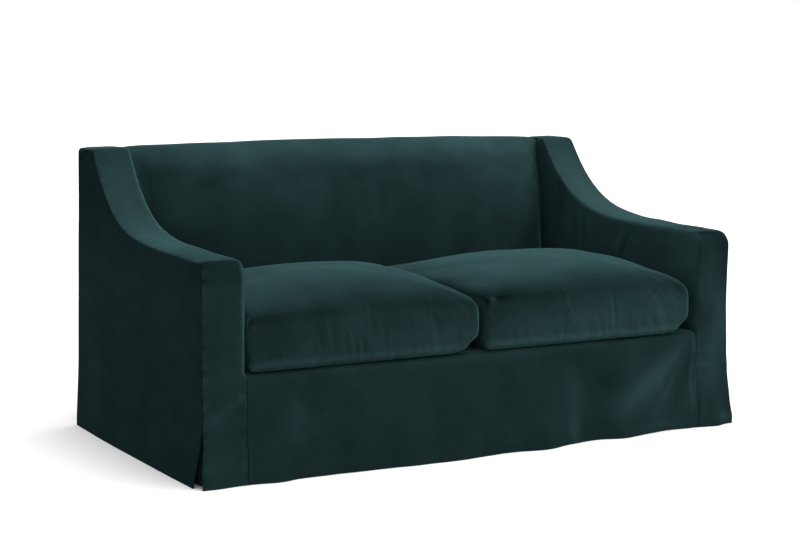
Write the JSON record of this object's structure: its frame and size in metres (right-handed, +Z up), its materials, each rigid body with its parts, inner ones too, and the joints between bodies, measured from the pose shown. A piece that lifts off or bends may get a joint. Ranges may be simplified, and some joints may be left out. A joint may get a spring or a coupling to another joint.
{
  "type": "sofa slipcover",
  "caption": "Fitted velvet slipcover for a sofa with sloping arms: panelled cover to the floor with open pleat corners, and crowned seat cushions.",
  "frame": {"origin": "on the floor, at the middle of the cover's footprint", "axes": "+Z up; the front faces -Y; +X is on the right of someone who looks at the front"},
  "size_m": [1.8115, 1.0232, 0.8791],
  "materials": {
    "cover_velvet": "dark teal cotton velvet, matt with a soft sheen",
    "cushion_velvet": "the same velvet, filled"
  },
  "bodies": {
    "root": {"outside_arm_left": "cover_velvet", "outside_arm_right": "cover_velvet", "arm_band_left": "cover_velvet", "arm_band_right": "cover_velvet", "inside_arm_left": "cover_velvet", "inside_arm_right": "cover_velvet", "inside_back": "cover_velvet", "outside_back": "cover_velvet", "deck": "cover_velvet", "front_panel": "cover_velvet", "pleat_left": "cover_velvet", "pleat_right": "cover_velvet", "seat_cushion_left": "cushion_velvet", "seat_cushion_right": "cushion_velvet"}
  },
  "joints": []
}
